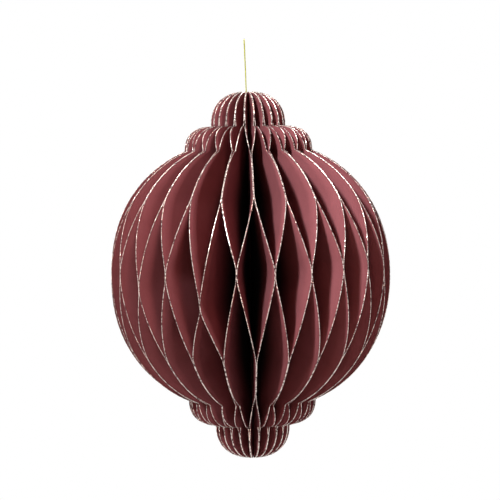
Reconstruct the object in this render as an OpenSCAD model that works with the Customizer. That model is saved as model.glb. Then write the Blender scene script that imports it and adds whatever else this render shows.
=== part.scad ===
// Paper honeycomb ball: half-profile paper leaves, glued to each other in alternating rows,
// fan out round a spine. The ball is opened through a full turn and held at the back by
// magnets in two cover boards. Millimetres, Z up.
// The origin is the top of the hanging loop, and the ball hangs below it with the seam at +Y.

/* [Outline] */
// Radius of the ball
ball_r = 75; // [60:1:100]
// Height of the ball's curve above the equator, of which the tier cuts off the top
ball_h = 73.4; // [60:0.2:100]
// Outer radius of the rounded tier at each end of the ball
tier_r = 34.2; // [30:0.2:42]
// Height of the tier's rounded edge
tier_h = 13; // [9:0.5:18]
// Radius of the small dome at each end
dome_r = 20; // [15:0.2:24]
// Height of the dome above the tier
dome_h = 18.6; // [14:0.2:24]

/* [Leaves] */
// Number of paper leaves round the spine
leaf_count = 48; // [32:2:48]
// Thickness of the paper
paper_t = 0.25; // [0.15:0.05:0.35]
// Thickness of the glue film between two leaves
glue_t = 0.08; // [0.04:0.02:0.14]
// Width of a leaf's blunt end beside the spine
leaf_end_w = 0.6; // [0.4:0.1:1.2]

/* [Glue rows] */
// Height of the near edge of the upper shoulder row
shoulder_above = 42; // [32:0.5:48]
// Depth of the near edge of the lower shoulder row
shoulder_below = 41; // [32:0.5:48]
// Height of the far edge of the upper shoulder row
shoulder_top = 64; // [54:0.5:70]
// Depth of the far edge of the lower shoulder row
shoulder_bottom = 62.5; // [54:0.5:70]
// Height of the middle of the waist row above the equator
waist_z = 4; // [-8:1:8]
// Width of the waist row
waist_h = 6.5; // [3:0.5:12]
// Distance from the equator to the near edge of the rows in the domes
end_row = 84; // [74:1:88]

/* [Cover boards] */
// Thickness of a cover board
cover_t = 0.9; // [0.75:0.05:1.2]
// Clearance between a board's inner edge and the leaf that bends round it
cover_edge_gap = 0.3; // [0.1:0.1:2]
// Least width of a board, which ends where the leaves get narrower
cover_min_w = 4; // [2:0.5:10]
// How far a board stays inside the leaves' outline
cover_inset = 0.3; // [0:0.1:1.5]
// Gap between the two boards at the seam
seam_gap = 0.1; // [0.06:0.02:0.4]

/* [Magnets] */
// Diameter of a disc magnet
magnet_d = 10; // [6:0.5:12]
// Thickness of a disc magnet
magnet_t = 0.6; // [0.4:0.05:0.65]
// Radial clearance of a magnet in its pocket
magnet_gap = 0.1; // [0.05:0.05:0.3]
// Glue under a magnet in its pocket
magnet_glue = 0.05; // [0.02:0.01:0.1]
// Distance of the magnets from the axis
magnet_r = 52; // [30:1:54]
// Distance of the magnets above and below the equator
magnet_z = 30; // [10:1:32]

/* [Spine and thread] */
// Wall of the spine tape, which is rolled to a tube when the ball is open
spine_wall = 0.4; // [0.2:0.05:0.6]
// How far the spine tape stops short of the leaves' ends
spine_recess = 2; // [1:0.5:6]
// Height of the hanging loop above the dome
hang_h = 28; // [27:0.5:29]
// Diameter of the hanging thread
thread_d = 0.6; // [0.4:0.1:0.8]
// Clearance of the thread's knot in the spine
knot_gap = 0.2; // [0.1:0.05:0.4]

/* [Hidden] */
$fn = 64;
paper_red = [0.36, 0.06, 0.13];
board_red = [0.30, 0.05, 0.11];
tape_red = [0.25, 0.06, 0.10];
magnet_grey = [0.70, 0.70, 0.72];
thread_gold = [0.80, 0.62, 0.22];

// Fineness of the leaf outline: steps over a dome, a tier edge and half of the ball
dome_steps = 5;
tier_steps = 4;
ball_steps = 7;
// Rows closer together than this are taken as one
row_min = 0.4;
// Fullness of the three curves of the outline: 2 is an ellipse, and more is squarer
ball_power = 2.18;
tier_power = 2.4;
dome_power = 2.4;

leaf_angle = 360 / leaf_count;
half_angle = leaf_angle / 2;
seam_angle = 90;
// The spine is as wide round as the stack of leaves is thick
leaf_in_r = leaf_count * (paper_t + glue_t) / (2 * PI);
spine_r = leaf_in_r - glue_t;
spine_bore_r = spine_r - spine_wall;

// Heights of the outline's corners above the equator
base_z = ball_h * across(tier_r / ball_r, ball_power);
ledge_z = base_z + tier_h;
tip_r = leaf_in_r + leaf_end_w;
tip_z = ledge_z + dome_h * across(tip_r / dome_r, dome_power);
ball_z = -(ledge_z + dome_h + hang_h);

// Half the room that two glued leaves take up beside the plane between them
pair_offset = (paper_t + glue_t) / 2 / cos(half_angle);
// The same beside the seam, where a cover board lies between
seam_offset = (seam_gap / 2 + cover_t + glue_t + paper_t / 2) / cos(half_angle);

// A board starts where the leaf beside it, midway between its rows, is clear of the board
cover_in_r = (seam_offset + cover_edge_gap) / tan(half_angle);

// Columns of glue whose waist row was laid off the common height, with the shift of each
waist_shifts = [[15, -1], [17, -8], [21, -16], [29, 2], [31, 3]];

// Points of the hanging loop from one end at the knot to the other
thread_route = [
    [0, -0.5, -33],
    [-0.2, -0.5, -31.5],
    [-0.5, -0.5, -29.5],
    [-0.7, -0.5, -27.5],
    [-0.8, -0.6, -23],
    [-0.9, -0.8, -17],
    [-1.1, -1, -11],
    [-1.2, -1.2, -6.5],
    [-1.3, -1.4, -3],
    [-1.4, -1.4, -1.4],
    [-1.4, -1, -0.4],
    [-1.4, 0, 0],
    [-1.4, 1, -0.4],
    [-1.4, 1.4, -1.4],
    [-1.3, 1.4, -3],
    [-1.2, 1.2, -6.5],
    [-1.1, 1, -11],
    [-0.9, 0.8, -17],
    [-0.8, 0.6, -23],
    [-0.7, 0.5, -27.5],
    [-0.5, 0.5, -29.5],
    [-0.2, 0.5, -31.5],
    [0, 0.5, -33]
];
thread_sides = 8;
thread_steps = 2;
knot_r = spine_bore_r - knot_gap;
knot_z = thread_route[0].z - knot_r;

function leaf_name(i) = str("leaf_", i < 10 ? "0" : "", i);

function sorted(v) =
    len(v) < 2 ? v :
    let (p = v[floor(len(v) / 2)])
    concat(
        sorted([for (a = v) if (a < p) a]),
        [for (a = v) if (a == p) a],
        sorted([for (a = v) if (a > p) a])
    );

function spaced(v) =
    [for (i = [0 : len(v) - 1]) if (i == 0 || v[i] - v[i - 1] > row_min) v[i]];

// Share of one half axis of a curve at a share of its other half axis
function across(share, power) = pow(max(0, 1 - pow(share, power)), 1 / power);

// Outer radius of a leaf at a height above the equator
function outline_r(z) =
    let (h = abs(z))
    h > ledge_z ? dome_r * across((h - ledge_z) / dome_h, dome_power) :
    h > base_z ? dome_r + (tier_r - dome_r) * across((h - base_z) / tier_h, tier_power) :
    ball_r * across(h / ball_h, ball_power);

// Heights of the rows in the upper half, along the curves of the outline
function turned(angle, power) = pow(sin(angle), 2 / power);
dome_turn = asin(pow((tip_z - ledge_z) / dome_h, dome_power / 2));
dome_rows = [for (k = [0 : dome_steps]) ledge_z + dome_h * turned(dome_turn * k / dome_steps, dome_power)];
tier_rows = [for (k = [0 : tier_steps - 1]) base_z + tier_h * turned(90 * k / tier_steps, tier_power)];
ball_turn = asin(pow(base_z / ball_h, ball_power / 2));
ball_rows = [for (k = [0 : ball_steps - 1]) ball_h * turned(ball_turn * k / ball_steps, ball_power)];
arc_rows = concat(dome_rows, tier_rows, ball_rows);

function waist_shift(column) =
    let (found = [for (s = waist_shifts) if (s[0] == column) s[1]])
    len(found) > 0 ? found[0] : 0;

// Side on which a leaf lies over its height: 1 in the shoulder rows, -1 in the others
function wave_rows(i) =
    let (waist = waist_z + waist_shift(i % 2 == 1 ? i : i - 1))
    [
        [-end_row, -1],
        [-shoulder_bottom, 1],
        [-shoulder_below, 1],
        [waist - waist_h / 2, -1],
        [waist + waist_h / 2, -1],
        [shoulder_above, 1],
        [shoulder_top, 1],
        [end_row, -1]
    ];

function leaf_rows(i) = spaced(sorted(concat(
    arc_rows,
    [for (z = arc_rows) -z],
    [for (row = wave_rows(i)) row[0]]
)));

function is_seam_leaf(i) = i == 1 || i == leaf_count;

// Radii at which a leaf is shaped in a row of outer radius r; a leaf on a board bends at its edge
function stations(i, r) =
    is_seam_leaf(i) ? [leaf_in_r, min(cover_in_r, (leaf_in_r + r) / 2), r] : [leaf_in_r, r];

// Distance of a leaf's middle from its own mean plane; w is its side in this row
function leaf_y(i, x, w) =
    let (
        side = i % 2 == 0 ? 1 : -1,
        on_board = w > 0 && is_seam_leaf(i) && x > leaf_in_r,
        offset = on_board ? seam_offset : pair_offset
    )
    side * w * (x * tan(half_angle) - offset);

function leaf_loop(i, z) =
    let (
        xs = stations(i, outline_r(z)),
        n = len(xs),
        w = lookup(z, wave_rows(i))
    )
    concat(
        [for (k = [0 : n - 1]) [xs[k], leaf_y(i, xs[k], w) - paper_t / 2, z]],
        [for (k = [n - 1 : -1 : 0]) [xs[k], leaf_y(i, xs[k], w) + paper_t / 2, z]]
    );

// Two triangles between neighbouring loops, with the same diagonal on both faces of a leaf
function band(a, b, c, d, swap) = swap ? [[a, d, b], [b, d, c]] : [[a, d, c], [a, c, b]];

// Strips across a loop of m points, from point to facing point, so that all points are used
function end_faces(m) = [for (j = [0 : m / 2 - 2]) [j, j + 1, m - 2 - j, m - 1 - j]];

function loop_faces(loops, m, swap_from) =
    let (last = (loops - 1) * m)
    concat(
        end_faces(m),
        [for (k = [0 : loops - 2]) for (j = [0 : m - 1])
            each band(
                k * m + j,
                k * m + (j + 1) % m,
                (k + 1) * m + (j + 1) % m,
                (k + 1) * m + j,
                j >= swap_from
            )],
        [for (f = end_faces(m)) [last + f[3], last + f[2], last + f[1], last + f[0]]]
    );

module leaf(i) {
    rows = leaf_rows(i);
    m = 2 * len(stations(i, ball_r));
    color(paper_red)
    translate([0, 0, ball_z])
    rotate([0, 0, seam_angle + (i - 0.5) * leaf_angle])
    polyhedron(
        points = [for (z = rows) each leaf_loop(i, z)],
        faces = loop_faces(len(rows), m, m / 2)
    );
}

// A place on the seam plane, with X outwards and Y across it towards the fixed cover
module at_seam() {
    translate([0, 0, ball_z])
    rotate([0, 0, seam_angle])
    children();
}

module board(y) {
    rows = [for (z = leaf_rows(1)) if (outline_r(z) > cover_in_r + cover_inset + cover_min_w) z];
    edge = [for (z = rows) [outline_r(z) - cover_inset, z]];
    outline = concat([[cover_in_r, rows[0]]], edge, [[cover_in_r, rows[len(rows) - 1]]]);
    translate([0, y + cover_t, 0])
    rotate([90, 0, 0])
    linear_extrude(cover_t)
    polygon(outline);
}

// Discs lying across the seam plane at both magnet places, from y outwards by h
module discs(d, h, y) {
    for (z = [-magnet_z, magnet_z])
        translate([magnet_r, y + h, z])
        rotate([90, 0, 0])
        cylinder(d = d, h = h);
}

module fixed_cover() {
    pocket_h = magnet_t + magnet_glue;
    color(board_red)
    at_seam()
    difference() {
        board(seam_gap / 2);
        discs(magnet_d + 2 * magnet_gap, pocket_h, seam_gap / 2);
    }
}

module folding_cover() {
    pocket_h = magnet_t + magnet_glue;
    color(board_red)
    at_seam()
    difference() {
        board(-seam_gap / 2 - cover_t);
        discs(magnet_d + 2 * magnet_gap, pocket_h, -seam_gap / 2 - pocket_h);
    }
}

module fixed_cover_magnets() {
    color(magnet_grey)
    at_seam()
    discs(magnet_d, magnet_t, seam_gap / 2);
}

module folding_cover_magnets() {
    color(magnet_grey)
    at_seam()
    discs(magnet_d, magnet_t, -seam_gap / 2 - magnet_t);
}

module spine_tape() {
    spine_h = tip_z - spine_recess;
    color(tape_red)
    translate([0, 0, ball_z - spine_h])
    difference() {
        cylinder(r = spine_r, h = 2 * spine_h);
        translate([0, 0, -1])
        cylinder(r = spine_bore_r, h = 2 * spine_h + 2);
    }
}

// A smooth curve through four points, between the middle two
function curve_point(a, b, c, d, t) =
    0.5 * (2 * b + (c - a) * t + (2 * a - 5 * b + 4 * c - d) * t * t + (3 * b - a - 3 * c + d) * t * t * t);

function smooth_route(p) =
    let (n = len(p) - 1)
    concat(
        [for (i = [0 : n - 1]) for (k = [0 : thread_steps - 1])
            curve_point(p[max(i - 1, 0)], p[i], p[i + 1], p[min(i + 2, n)], k / thread_steps)],
        [p[n]]
    );

// A ring of points round a route point; the loop lies across X, so X is always one side of it
function thread_ring(p, i) =
    let (
        n = len(p) - 1,
        run = p[min(i + 1, n)] - p[max(i - 1, 0)],
        side = cross(run, [1, 0, 0]) / norm(cross(run, [1, 0, 0])),
        up = cross(side, run) / norm(run)
    )
    [for (j = [0 : thread_sides - 1])
        p[i] + thread_d / 2 * (cos(360 * j / thread_sides) * side + sin(360 * j / thread_sides) * up)];

module hanging_thread() {
    path = smooth_route(thread_route);
    color(thread_gold)
    polyhedron(
        points = [for (i = [0 : len(path) - 1]) each thread_ring(path, i)],
        faces = loop_faces(len(path), thread_sides, thread_sides)
    );
}

module thread_knot() {
    color(thread_gold)
    translate([0, 0, knot_z])
    sphere(r = knot_r);
}

for (i = [1 : leaf_count])
    leaf(i);
fixed_cover();
folding_cover();
fixed_cover_magnets();
folding_cover_magnets();
spine_tape();
hanging_thread();
thread_knot();
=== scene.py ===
import math
import random

import bmesh
import bpy
from mathutils import Matrix, Vector


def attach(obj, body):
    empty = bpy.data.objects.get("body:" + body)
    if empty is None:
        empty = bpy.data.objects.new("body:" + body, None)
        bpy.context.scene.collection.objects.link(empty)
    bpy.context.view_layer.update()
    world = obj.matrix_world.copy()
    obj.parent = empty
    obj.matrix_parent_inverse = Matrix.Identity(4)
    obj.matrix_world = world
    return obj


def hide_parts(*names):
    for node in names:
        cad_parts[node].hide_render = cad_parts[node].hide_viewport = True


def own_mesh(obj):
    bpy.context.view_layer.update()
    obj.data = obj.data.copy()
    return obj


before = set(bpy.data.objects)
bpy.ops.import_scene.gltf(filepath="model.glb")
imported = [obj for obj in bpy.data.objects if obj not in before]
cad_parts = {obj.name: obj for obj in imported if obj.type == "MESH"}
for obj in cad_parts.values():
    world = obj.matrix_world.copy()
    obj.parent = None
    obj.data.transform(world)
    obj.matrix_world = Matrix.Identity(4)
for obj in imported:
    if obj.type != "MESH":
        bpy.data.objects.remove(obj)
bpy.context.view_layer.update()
scene = bpy.context.scene
mm = 0.001
frontAngle = 270    # degrees round the axis, from +X
seamAngle = 90

# half profile of the ball, in millimetres from its middle
# a power of 2 is an ellipse, and more is squarer
profile = {
    "ballR": 75,
    "ballH": 73.4,
    "ballPower": 2.18,
    "tierR": 34.2,
    "tierH": 13,
    "tierPower": 2.4,
    "domeR": 20,
    "domeH": 18.6,
    "domePower": 2.4,
    "hangH": 28,
}


def heightAt(share, power):
    # the share of a squared ellipse's height at a share of its width
    return max(0, 1 - share ** power) ** (1 / power)


baseZ = profile["ballH"] * heightAt(profile["tierR"] / profile["ballR"], profile["ballPower"])
ledgeZ = baseZ + profile["tierH"]
ballZ = -(ledgeZ + profile["domeH"] + profile["hangH"])


# camera
photoView = {
    "distance": 1180,   # lens to the ball's axis
    "height": 67.5,     # lens above the ball's middle
    "aside": 2.15,      # degrees round to the left of the front
    "aim": 13.45,       # middle of the picture, above the ball's middle
    "roll": -0.9,       # degrees
    "lens": 157.9,
    "sensor": 36,
}


def makeCamera():
    turn = math.radians(frontAngle - photoView["aside"])
    reach = photoView["distance"]
    place = Vector((reach * math.cos(turn), reach * math.sin(turn), photoView["height"]))
    aim = Vector((0, 0, photoView["aim"]))
    data = bpy.data.cameras.new("photoCamera")
    data.lens = photoView["lens"]
    data.sensor_width = photoView["sensor"]
    camera = bpy.data.objects.new("photoCamera", data)
    scene.collection.objects.link(camera)
    roll = Matrix.Rotation(math.radians(photoView["roll"]), 3, "Z").to_quaternion()
    camera.rotation_mode = "QUATERNION"
    camera.rotation_quaternion = (aim - place).to_track_quat("-Z", "Y") @ roll
    camera.location = (place + Vector((0, 0, ballZ))) * mm
    scene.camera = camera


makeCamera()
print("camera placed")


# shader sums: a wire is one socket, and a sum of wires adds its Math node
class Wire:
    def __init__(self, tree, socket=None):
        self.tree = tree
        self.socket = socket

    def node(self, kind, settings, inputs, output=0):
        made = self.tree.nodes.new("ShaderNode" + kind)
        for name, value in settings.items():
            setattr(made, name, value)
        for name, value in inputs.items():
            if isinstance(value, Wire):
                self.tree.links.new(value.socket, made.inputs[name])
            else:
                made.inputs[name].default_value = value
        return Wire(self.tree, made.outputs[output])

    def sum(self, operation, first, second):
        return self.node("Math", {"operation": operation}, {0: first, 1: second})

    def __add__(self, other):
        return self.sum("ADD", self, other)

    def __radd__(self, other):
        return self.sum("ADD", other, self)

    def __sub__(self, other):
        return self.sum("SUBTRACT", self, other)

    def __rsub__(self, other):
        return self.sum("SUBTRACT", other, self)

    def __mul__(self, other):
        return self.sum("MULTIPLY", self, other)

    def __rmul__(self, other):
        return self.sum("MULTIPLY", other, self)

    def __gt__(self, other):
        return self.sum("GREATER_THAN", self, other)

    def maximum(self, other):
        return self.sum("MAXIMUM", self, other)

    def ease(self, start, end):
        limits = {"Value": self, "From Min": start, "From Max": end}
        return self.node("MapRange", {"interpolation_type": "SMOOTHSTEP"}, limits)

    def blend(self, low, high):
        return self.node("Mix", {"data_type": "RGBA"}, {0: self, 6: low, 7: high}, output=2)


def screen(red, green, blue):
    # a colour as it looks on the screen, taken back through the sRGB curve for a socket
    parts = [c / 12.92 if c <= 0.04045 else ((c + 0.055) / 1.055) ** 2.4 for c in (red, green, blue)]
    return (*parts, 1)


def newMaterial(name):
    material = bpy.data.materials.new(name)
    material.use_nodes = True
    tree = material.node_tree
    tree.nodes.clear()
    output = tree.nodes.new("ShaderNodeOutputMaterial")
    start = Wire(tree)
    place = start.node("TexCoord", {}, {}, output="Object")
    return material, output, start, place


def surface(output, shader):
    shader.tree.links.new(shader.socket, output.inputs["Surface"])


def speckle(place, size, detail):
    inputs = {"Vector": place, "Scale": 1 / (size * mm), "Detail": detail}
    return place.node("TexNoise", {"noise_dimensions": "3D"}, inputs)


def flakes(place, size):
    inputs = {"Vector": place, "Scale": 1 / (size * mm)}
    return place.node("TexVoronoi", {"feature": "F1"}, inputs, output="Color")


def part(colour, channel):
    return colour.node("SeparateColor", {}, {0: colour}, output=channel)


def dyedFibres(place, look):
    # short fibres under soft clouds of dye
    fibres = speckle(place, look["fibre"], look["fibreDetail"])
    clouds = speckle(place, look["cloud"], look["cloudDetail"])
    share = look["fibreShare"]
    dyed = (fibres * share + clouds * (1 - share)).blend(look["deep"], look["pale"])
    return fibres, dyed


def bumps(height, look):
    depth = look["bumpDepth"] * mm
    return height.node("Bump", {}, {"Strength": look["bump"], "Distance": depth, "Height": height})


# in the looks, fibres, grain and the like are in millimetres, and roughGrain is how far roughness varies
# paper of the leaves: dyed through, matt, with short fibres, and painted shade deep in the cells
paperLook = {
    "deep": screen(0.45, 0.226, 0.245),
    "pale": screen(0.59, 0.33, 0.352),
    "fibre": 0.5,
    "fibreDetail": 6.0,
    "fibreShare": 0.6,
    "cloud": 9,
    "cloudDetail": 2.0,
    "rough": 0.75,
    "roughGrain": 0.15,
    "shine": 0.2,
    "bump": 0.25,
    "bumpDepth": 0.05,
    # painted shade: the colour the paper turns to deep in the cells, where little light reaches
    "inner": screen(0.045, 0.02, 0.022),
    "innerFrom": 16,    # painted shade: the paper darkens with its depth under the edge, standing in for the shade deep in the cells
    "innerTo": 50,
}


def makePaper():
    material, output, start, place = newMaterial("burgundyPaper")
    fibres, dyed = dyedFibres(place, paperLook)
    depth = start.node("Attribute", {"attribute_name": "depth"}, {}, output="Fac")
    # painted shade: darker with depth under the edge, standing in for the shade deep in the cells
    paintedShadeShare = depth.ease(paperLook["innerFrom"], paperLook["innerTo"])
    surface(output, start.node("BsdfPrincipled", {}, {
        "Base Color": paintedShadeShare.blend(dyed, paperLook["inner"]),
        "Roughness": fibres * paperLook["roughGrain"] + paperLook["rough"],
        "Normal": bumps(fibres, paperLook),
        "Specular IOR Level": paperLook["shine"],
    }))
    return material


# glitter on the cut edges: fine flakes in clear glue, from silver to champagne
glitterLook = {
    "flake": 0.34,
    "clump": 0.55,
    "silver": screen(0.97, 0.95, 0.93),
    "champagne": screen(0.90, 0.78, 0.73),
    "gap": screen(0.28, 0.14, 0.15),
    "gapShare": 0.34,       # share of the edge between the clumps
    "metal": 0.7,
    "metalGrain": 0.3,
    "rough": 0.17,
    "roughGrain": 0.3,
}


def makeGlitter():
    material, output, start, place = newMaterial("edgeGlitter")
    flake = flakes(place, glitterLook["flake"])
    warm = part(flake, "Red")
    turned = part(flake, "Green")
    metal = part(flake, "Blue")
    shown = part(flakes(place, glitterLook["clump"]), "Red") > glitterLook["gapShare"]
    foil = warm.blend(glitterLook["silver"], glitterLook["champagne"])
    surface(output, start.node("BsdfPrincipled", {}, {
        "Base Color": shown.blend(glitterLook["gap"], foil),
        "Metallic": (metal * glitterLook["metalGrain"] + glitterLook["metal"]) * shown,
        "Roughness": turned * glitterLook["roughGrain"] + glitterLook["rough"],
    }))
    return material


# thread: thin gold foil wound round a yellow core
threadLook = {
    "core": screen(0.66, 0.66, 0.08),
    "foil": screen(0.80, 0.79, 0.24),
    "grain": 0.25,
    "grainDetail": 4.0,
    "metal": 0.1,
    "metalGrain": 0.6,
    "rough": 0.55,
    "roughGrain": 0.3,
}


def makeThreadGold():
    material, output, start, place = newMaterial("threadGold")
    grain = speckle(place, threadLook["grain"], threadLook["grainDetail"])
    surface(output, start.node("BsdfPrincipled", {}, {
        "Base Color": grain.blend(threadLook["core"], threadLook["foil"]),
        "Metallic": grain * threadLook["metalGrain"] + threadLook["metal"],
        "Roughness": threadLook["rough"] - grain * threadLook["roughGrain"],
    }))
    return material


# board of the covers: the same paper glued on grey board
boardLook = {
    "deep": screen(0.46, 0.21, 0.26),
    "pale": screen(0.56, 0.28, 0.33),
    "fibre": 0.8,
    "fibreDetail": 6.0,
    "fibreShare": 0.5,
    "cloud": 14,
    "cloudDetail": 2.0,
    "rough": 0.72,
    "roughGrain": 0.15,
    "shine": 0.2,
    "bump": 0.3,
    "bumpDepth": 0.08,
}


def makeBoard():
    material, output, start, place = newMaterial("coverBoard")
    fibres, dyed = dyedFibres(place, boardLook)
    surface(output, start.node("BsdfPrincipled", {}, {
        "Base Color": dyed,
        "Roughness": fibres * boardLook["roughGrain"] + boardLook["rough"],
        "Normal": bumps(fibres, boardLook),
        "Specular IOR Level": boardLook["shine"],
    }))
    return material


# magnets: nickel plate with fine rubbing marks
magnetLook = {
    "plate": screen(0.78, 0.77, 0.75),
    "rubbed": screen(0.62, 0.61, 0.60),
    "mark": 0.6,
    "markDetail": 5.0,
    "rough": 0.15,
    "roughGrain": 0.3,
}


def makeNickel():
    material, output, start, place = newMaterial("magnetNickel")
    marks = speckle(place, magnetLook["mark"], magnetLook["markDetail"])
    surface(output, start.node("BsdfPrincipled", {}, {
        "Base Color": marks.blend(magnetLook["plate"], magnetLook["rubbed"]),
        "Metallic": 1.0,
        "Roughness": marks * magnetLook["roughGrain"] + magnetLook["rough"],
    }))
    return material


# tape of the spine: creased binding tape
tapeLook = {
    "deep": screen(0.33, 0.14, 0.17),
    "pale": screen(0.45, 0.20, 0.24),
    "crease": 1.4,
    "creaseDetail": 3.0,
    "rough": 0.65,
    "roughGrain": 0.2,
    "bump": 0.4,
    "bumpDepth": 0.1,
}


def makeTape():
    material, output, start, place = newMaterial("bindingTape")
    creases = speckle(place, tapeLook["crease"], tapeLook["creaseDetail"])
    surface(output, start.node("BsdfPrincipled", {}, {
        "Base Color": creases.blend(tapeLook["deep"], tapeLook["pale"]),
        "Roughness": creases * tapeLook["roughGrain"] + tapeLook["rough"],
        "Normal": bumps(creases, tapeLook),
    }))
    return material


paper = makePaper()
glitter = makeGlitter()
threadGold = makeThreadGold()
print("materials made")


def newPiece(bm, name, *materials):
    # the mesh is drawn in millimetres and goes out in metres
    bmesh.ops.scale(bm, vec=(mm, mm, mm), verts=bm.verts)
    mesh = bpy.data.meshes.new(name)
    bm.to_mesh(mesh)
    bm.free()
    for material in materials:
        mesh.materials.append(material)
    piece = bpy.data.objects.new(name, mesh)
    scene.collection.objects.link(piece)
    return piece


# hanging thread: a loop from the knot in the spine, and the knot
thread = {
    "diameter": 0.6,
    "route": [
        (0, -0.5, -33),
        (-0.2, -0.5, -31.5),
        (-0.5, -0.5, -29.5),
        (-0.7, -0.5, -27.5),
        (-0.8, -0.6, -23),
        (-0.9, -0.8, -17),
        (-1.1, -1, -11),
        (-1.2, -1.2, -6.5),
        (-1.3, -1.4, -3),
        (-1.4, -1.4, -1.4),
        (-1.4, -1, -0.4),
        (-1.4, 0, 0),
        (-1.4, 1, -0.4),
        (-1.4, 1.4, -1.4),
        (-1.3, 1.4, -3),
        (-1.2, 1.2, -6.5),
        (-1.1, 1, -11),
        (-0.9, 0.8, -17),
        (-0.8, 0.6, -23),
        (-0.7, 0.5, -27.5),
        (-0.5, 0.5, -29.5),
        (-0.2, 0.5, -31.5),
        (0, 0.5, -33),
    ],
    "exit": (-0.7, -0.5, -28),
    "steps": 10,        # rings between two points of the route
    "sides": 18,
    "plies": 3,
    "groove": 0.16,     # depth between plies, as a share of the radius
    "lay": 2.2,         # length of one twist
}
knot = {
    "middle": -34.84,
    "radius": 1.82,
    "rings": 150,
    "depth": 1.1,       # of its crossings, where its bends reach out to 3
}


def smoothThrough(points, steps):
    # a smooth curve on all the points, each bend from its four nearest
    line = []
    last = len(points) - 1
    for i in range(last):
        a, b, c, d = (Vector(points[min(max(k, 0), last)]) for k in range(i - 1, i + 3))
        for k in range(steps):
            t = k / steps
            bend = (2 * a - 5 * b + 4 * c - d) * t ** 2 + (3 * b - a - 3 * c + d) * t ** 3
            line.append((2 * b + (c - a) * t + bend) / 2)
    line.append(Vector(points[last]))
    return line


def twistedTube(line):
    # a capped cylinder of length 1, with a ring for each point, laid along the line
    last = len(line) - 1
    bm = bmesh.new()
    bmesh.ops.create_cone(bm, cap_ends=True, segments=thread["sides"], radius1=1, radius2=1, depth=1)
    longEdges = [e for e in bm.edges if abs(e.verts[0].co.z - e.verts[1].co.z) > 0.5]
    bmesh.ops.subdivide_edges(bm, edges=longEdges, cuts=last - 1, use_grid_fill=True)
    side = None
    gone = 0.0
    rings = []
    for k, point in enumerate(line):
        run = (line[min(k + 1, last)] - line[max(k - 1, 0)]).normalized()
        side = run.orthogonal() if side is None else side
        side = (side - run * side.dot(run)).normalized()
        gone += (point - line[max(k - 1, 0)]).length
        rings.append((point, side, run.cross(side), gone * math.tau / thread["lay"]))
    for v in bm.verts:
        point, side, up, twist = rings[round((v.co.z + 0.5) * last)]
        turn = math.atan2(v.co.y, v.co.x)
        ply = 0.5 - 0.5 * math.cos(thread["plies"] * (turn - twist))
        reach = thread["diameter"] / 2 * (1 - thread["groove"] * ply)
        v.co = point + reach * (math.cos(turn) * side + math.sin(turn) * up)
    for face in bm.faces:
        face.smooth = True
    return bm


def knotLine():
    # a trefoil, which an overhand knot pulls into
    line = []
    for k in range(knot["rings"] + 1):
        t = math.tau * k / knot["rings"]
        x = math.sin(t) + 2 * math.sin(2 * t)
        y = math.cos(t) - 2 * math.cos(2 * t)
        line.append(Vector((x, y, -knot["depth"] * math.sin(3 * t))))
    widest = max(p.length for p in line)
    room = knot["radius"] - thread["diameter"] / 2
    return [p * room / widest + Vector((0, 0, knot["middle"])) for p in line]


threadLine = smoothThrough(thread["route"], thread["steps"])
threadLoop = newPiece(twistedTube(threadLine), "thread_loop", threadGold)
threadKnot = newPiece(twistedTube(knotLine()), "knot_in_thread", threadGold)
for piece, node in ((threadLoop, "hanging_thread"), (threadKnot, "thread_knot")):
    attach(piece, "spine")
    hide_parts(node)
threadLength = sum((b - a).length for a, b in zip(threadLine, threadLine[1:]))
threadLength * mm
[p * mm for p in threadLine]
print("thread laid,", round(threadLength, 1), "mm")


# paper leaves and their glitter edges
leaf = {
    "count": 48,
    "paper": 0.25,
    "glue": 0.08,
    "endWidth": 0.6,
    "shoulderAbove": 42,
    "shoulderBelow": 41,
    "shoulderTop": 64,
    "shoulderBottom": 62.5,
    "waist": 4,
    "waistHeight": 6.5,
    "waistShifts": {15: -1, 17: -8, 21: -16, 29: 2, 31: 3},   # by column of glue
    "bottomShifts": {20: 13},
    "endRow": 84,
    "rowEnds": 4,        # ends of rows that slip, for each column of glue
    "unevenness": 0.7,   # how far such an end slips
    "softness": 2.4,     # how far the paper takes to bend away from its glue
    "rowStep": 1.5,
    "columns": 8,
    "closedAngle": 20,   # of the whole stack when it is folded
    "plainLeaves": 2,    # at each end of the stack, which get no painted shade, as they show when it is closed
    "seed": 12,
}
bead = {
    "step": 0.47,
    "outwards": (-0.14, -0.06, 0.02, 0.09),   # of the points across the edge
    "widths": (0.24, 0.34, 0.34, 0.22),
    "grain": 0.09,
    "widthGrain": 0.25,
    "widest": 0.5,
}
cover = {
    "thickness": 0.9,
    "seamGap": 0.1,
    "edgeGap": 0.3,
    "inset": 0.3,
    "leastWidth": 4,
}
leafAngle = 360 / leaf["count"]
halfTan = math.tan(math.radians(leafAngle / 2))
halfCos = math.cos(math.radians(leafAngle / 2))
leafInR = leaf["count"] * (leaf["paper"] + leaf["glue"]) / math.tau
# from the plane between two leaves, or between the two boards, to the middle of a leaf
pairOffset = (leaf["paper"] + leaf["glue"]) / 2 / halfCos
seamOffset = (cover["seamGap"] / 2 + cover["thickness"] + leaf["glue"] + leaf["paper"] / 2) / halfCos
coverInR = (seamOffset + cover["edgeGap"]) / halfTan


def curve(middle, reach, power, start, end, step):
    # places and outward directions on a quarter of a squared ellipse,
    # from the angle start up to, but not on, the angle end
    places = []
    count = math.ceil(max(reach) * abs(end - start) / step)
    for k in range(count):
        angle = start + (end - start) * k / count
        c = math.cos(angle) ** (2 / power)
        s = math.sin(angle) ** (2 / power)
        out = Vector((c ** (power - 1) / reach[0], s ** (power - 1) / reach[1])).normalized()
        places.append((Vector((middle[0] + reach[0] * c, middle[1] + reach[1] * s)), out))
    return places


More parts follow.
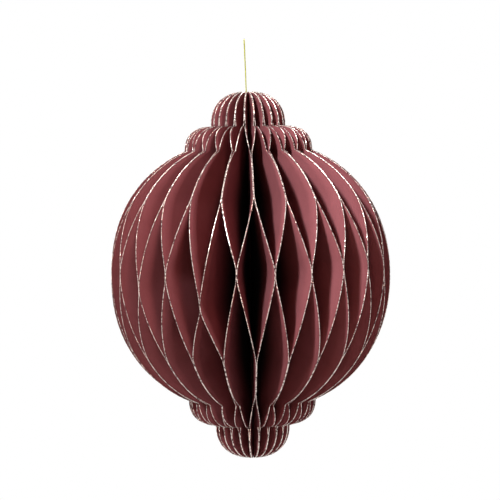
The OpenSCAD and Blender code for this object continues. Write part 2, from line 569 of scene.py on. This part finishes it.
def walkProfile(step):
    # places on the edge of a leaf from the bottom to the top, each with its outward direction
    quarter = math.pi / 2
    tipShare = (leafInR + leaf["endWidth"]) / profile["domeR"]
    tip = math.acos(tipShare ** (profile["domePower"] / 2))
    base = math.asin((baseZ / profile["ballH"]) ** (profile["ballPower"] / 2))
    tierReach = (profile["tierR"] - profile["domeR"], profile["tierH"])
    upper = curve((0, 0), (profile["ballR"], profile["ballH"]), profile["ballPower"], 0, base, step)
    upper += curve((profile["domeR"], baseZ), tierReach, profile["tierPower"], 0, quarter, step)
    upper += curve((0, ledgeZ), (profile["domeR"], profile["domeH"]), profile["domePower"], 0, tip, step)
    flip = Vector((1, -1))
    lower = [(place * flip, out * flip) for place, out in reversed(upper[1:])]
    return lower + upper


def columnOf(i, odd):
    # the column of glue on a leaf's waist side (odd) or shoulder side (even)
    return i if (i % 2 == 1) == odd else i - 1


chance = random.Random(leaf["seed"])
rowSlip = {}
for column in range(leaf["count"] + 1):
    rowSlip[column] = [chance.uniform(-1, 1) * leaf["unevenness"] for k in range(leaf["rowEnds"])]


def sideRows(i):
    # heights of a leaf's glue from the bottom to the top, and the side that it holds there
    a = rowSlip[columnOf(i, False)]
    b = rowSlip[columnOf(i, True)]
    waist = leaf["waist"] + leaf["waistShifts"].get(columnOf(i, True), b[0])
    bottom = leaf["shoulderBottom"] + leaf["bottomShifts"].get(columnOf(i, False), a[0])
    half = leaf["waistHeight"] / 2
    return [
        (-leaf["endRow"], -1),
        (-bottom, 1),
        (-leaf["shoulderBelow"] + a[1], 1),
        (waist - half, -1),
        (waist + half, -1),
        (leaf["shoulderAbove"] + a[2], 1),
        (leaf["shoulderTop"] + a[3], 1),
        (leaf["endRow"], -1),
    ]


def lookUp(z, rows):
    if z <= rows[0][0]:
        return rows[0][1]
    for (z0, w0), (z1, w1) in zip(rows, rows[1:]):
        if z <= z1:
            return w0 + (w1 - w0) * (z - z0) / (z1 - z0)
    return rows[-1][1]


def sideAt(z, rows):
    # 1 where the leaf lies on its shoulder side, -1 on the other, eased where it leaves the glue
    shares = (-1, -0.5, 0, 0.5, 1)
    return sum(lookUp(z + s * leaf["softness"], rows) for s in shares) / len(shares)


def leafY(i, x, side):
    offset = pairOffset
    if i in (1, leaf["count"]) and side > 0:
        bent = min(max((x - leafInR) / (coverInR - leafInR), 0), 1)
        offset = pairOffset + (seamOffset - pairOffset) * bent
    return (1 if i % 2 == 0 else -1) * side * (x * halfTan - offset)


def gridOn(bm, columns, rows, place):
    # a grid whose points are placed by column and row
    made = bmesh.ops.create_grid(bm, x_segments=columns, y_segments=rows, size=1)["verts"]
    wide = max(v.co.x for v in made)
    for v in made:
        column = round((v.co.x / wide + 1) / 2 * columns)
        row = round((v.co.y / wide + 1) / 2 * rows)
        place(v, column, row)
    return {f for v in made for f in v.link_faces}


def addSheet(bm, thickness, i, rows):
    edge = walkProfile(leaf["rowStep"])
    depth = bm.verts.layers.float.new("depth")

    def place(v, column, row):
        r, z = edge[row][0]
        x = leafInR + (r - leafInR) * column / leaf["columns"]
        v.co = (x, leafY(i, x, sideAt(z, rows)), z)
        v[thickness][0] = leaf["paper"] / bead["widest"]
        # the depth under the edge, which sets the painted shade deep in the cells; the end leaves get
        # none
        v[depth] = 0 if min(i - 1, leaf["count"] - i) < leaf["plainLeaves"] else r - x

    for face in gridOn(bm, leaf["columns"], len(edge) - 1, place):
        face.smooth = True


def addBead(bm, thickness, edge, seed, yAt, material):
    grain = random.Random(seed)

    def place(v, column, row):
        at, out = edge[row]
        along = Vector((-out.y, out.x)) * grain.uniform(-1, 1) * bead["grain"]
        r, z = at + out * (bead["outwards"][column] + grain.uniform(-1, 1) * bead["grain"] / 2) + along
        v.co = (r, yAt(r, z), z)
        width = bead["widths"][column] * (1 + grain.uniform(-1, 1) * bead["widthGrain"])
        v[thickness][0] = min(1, width / bead["widest"])

    for face in gridOn(bm, len(bead["outwards"]) - 1, len(edge) - 1, place):
        face.material_index = material
        face.smooth = False


def thicken(piece, widest):
    piece.vertex_groups.new(name="thickness")
    wall = piece.modifiers.new("wall", "SOLIDIFY")
    wall.thickness = widest * mm
    wall.offset = 0
    wall.vertex_group = "thickness"


def turnToPlace(bm, angle):
    turn = Matrix.Rotation(math.radians(angle), 3, "Z")
    bmesh.ops.rotate(bm, cent=(0, 0, 0), matrix=turn, verts=bm.verts)
    bmesh.ops.translate(bm, vec=(0, 0, ballZ), verts=bm.verts)


def makeLeaf(i):
    name = f"leaf_{i:02d}"
    rows = sideRows(i)
    angle = seamAngle + (i - 0.5) * leafAngle
    bm = bmesh.new()
    thickness = bm.verts.layers.deform.verify()
    addSheet(bm, thickness, i, rows)
    edge = walkProfile(bead["step"])
    addBead(bm, thickness, edge, i, lambda r, z: leafY(i, r, sideAt(z, rows)), 1)
    turnToPlace(bm, angle)
    piece = newPiece(bm, name + "_paper", paper, glitter)
    thicken(piece, bead["widest"])
    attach(piece, name)
    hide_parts(name)
    # where an outer leaf would draw in to, to lie between the two boards when closed; worked out, but
    # nothing here uses it
    keep = leaf["closedAngle"] / 360
    drawIn = seamOffset * halfCos * (1 - 2 * (i - 1) / (leaf["count"] - 1))
    sideways = Vector((-math.sin(math.radians(angle)), math.cos(math.radians(angle)), 0))
    anchor = sideways * drawIn / (1 - keep) + Vector((0, 0, ballZ))
    anchor * mm
    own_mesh(piece)


for i in range(1, leaf["count"] + 1):
    makeLeaf(i)
print("leaves made:", leaf["count"])


# glitter along the free edge of the two cover boards
def makeCoverEdge(node, body, side):
    middle = side * (cover["seamGap"] + cover["thickness"]) / 2
    width = cover["thickness"] - cover["seamGap"]
    least = coverInR + cover["inset"] + cover["leastWidth"]
    edge = [(p - o * cover["inset"], o) for p, o in walkProfile(bead["step"]) if p.x > least]
    bm = bmesh.new()
    thickness = bm.verts.layers.deform.verify()
    addBead(bm, thickness, edge, node, lambda r, z: middle, 0)
    turnToPlace(bm, seamAngle)
    piece = newPiece(bm, node + "_edge", glitter)
    thicken(piece, width)
    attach(piece, body)


makeCoverEdge("fixed_cover", "spine", 1)
makeCoverEdge("folding_cover", "folding_cover", -1)
print("cover edges made")


# CAD nodes that stay
def dress(material, *nodes):
    for node in nodes:
        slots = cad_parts[node].data.materials
        slots.clear()
        slots.append(material)


dress(makeBoard(), "fixed_cover", "folding_cover")
dress(makeNickel(), "fixed_cover_magnets", "folding_cover_magnets")
dress(makeTape(), "spine_tape")
print("covers, magnets and spine dressed")


# studio
studio = {
    "floorZ": -600,
    "floorSize": 3600,
    "floorCells": 4,
    "floorColour": screen(0.92, 0.92, 0.92),
    "lampDistance": 1300,
    "ambient": 0.07,
    "ambientColour": (1.0, 0.55, 0.45, 1),
}
# lamps round the ball: turn goes from the front to the right and rise goes up, in degrees
lamps = {
    "keyLamp": {
        "turn": -30,
        "rise": 33,
        "size": 170,
        "watts": 113,
        "colour": (0.84, 1.0, 1.0),
        "cone": 18,              # degrees, with a soft edge that spares the left half
        "aim": (106, -60, 44),   # from the middle of the ball
    },
    "frontLamp": {"turn": -30, "rise": 30, "size": 170, "watts": 2.4, "colour": (1.0, 0.62, 0.52)},
    "fillLamp": {
        "turn": 14,
        "rise": 50,
        "size": 280,
        "watts": 27,
        "colour": (1.0, 0.52, 0.44),
        "cone": 18,              # spares the right half
        "aim": (-100, -60, 0),
    },
    "lowLamp": {"turn": -8, "rise": -14, "size": 260, "watts": 1.5, "colour": (1.0, 0.62, 0.46)},
    "backLeftLamp": {"turn": -135, "rise": 40, "size": 500, "watts": 9, "colour": (1.0, 0.95, 0.9)},
    "backRightLamp": {"turn": 135, "rise": 40, "size": 500, "watts": 14, "colour": (1.0, 0.97, 0.95)},
}


def makeLamp(name, lamp):
    if "cone" in lamp:
        data = bpy.data.lights.new(name, "SPOT")
        data.spot_size = math.radians(lamp["cone"])
        data.spot_blend = 1     # soft all the way in
        data.shadow_soft_size = lamp["size"] / 2 * mm
    else:
        data = bpy.data.lights.new(name, "AREA")
        data.shape = "DISK"
        data.size = lamp["size"] * mm
    data.energy = lamp["watts"]
    data.color = lamp["colour"]
    obj = bpy.data.objects.new(name, data)
    scene.collection.objects.link(obj)
    turn = math.radians(lamp["turn"])
    rise = math.radians(lamp["rise"])
    away = Vector((math.sin(turn) * math.cos(rise), -math.cos(turn) * math.cos(rise), math.sin(rise)))
    place = away * studio["lampDistance"]
    obj.location = (place + Vector((0, 0, ballZ))) * mm
    obj.rotation_mode = "QUATERNION"
    obj.rotation_quaternion = (Vector(lamp.get("aim", (0, 0, 0))) - place).to_track_quat("-Z", "Y")


def seenBackground(start):
    # 1 for what the camera, a reflection or a clear piece sees
    camera = start.node("LightPath", {}, {}, output="Is Camera Ray")
    glossy = start.node("LightPath", {}, {}, output="Is Glossy Ray")
    through = start.node("LightPath", {}, {}, output="Is Transmission Ray")
    return camera.maximum(glossy).maximum(through)


def makeWorld():
    world = bpy.data.worlds.new("studioWhite")
    world.use_nodes = True
    scene.world = world
    tree = world.node_tree
    tree.nodes.clear()
    output = tree.nodes.new("ShaderNodeOutputWorld")
    start = Wire(tree)
    seen = seenBackground(start)
    strength = seen * (1 - studio["ambient"]) + studio["ambient"]
    colour = seen.blend(studio["ambientColour"], (1, 1, 1, 1))
    surface(output, start.node("Background", {}, {"Color": colour, "Strength": strength}))


def makeFloor():
    bm = bmesh.new()
    cells = studio["floorCells"]
    bmesh.ops.create_grid(bm, x_segments=cells, y_segments=cells, size=studio["floorSize"] / 2)
    bmesh.ops.translate(bm, vec=(0, 0, studio["floorZ"]), verts=bm.verts)
    material, output, start, _ = newMaterial("paleFloor")
    matt = start.node("BsdfDiffuse", {}, {"Color": studio["floorColour"]})
    white = start.node("Emission", {}, {"Color": (1, 1, 1, 1), "Strength": 1})
    above = start.node("MixShader", {}, {0: seenBackground(start), 1: matt, 2: white})
    below = start.node("BsdfTransparent", {}, {})
    under = start.node("NewGeometry", {}, {}, output="Backfacing")
    surface(output, start.node("MixShader", {}, {0: under, 1: above, 2: below}))
    newPiece(bm, "floor", material)


for name, lamp in lamps.items():
    makeLamp(name, lamp)
makeWorld()
makeFloor()
scene.view_settings.view_transform = "Standard"
print("studio lit")
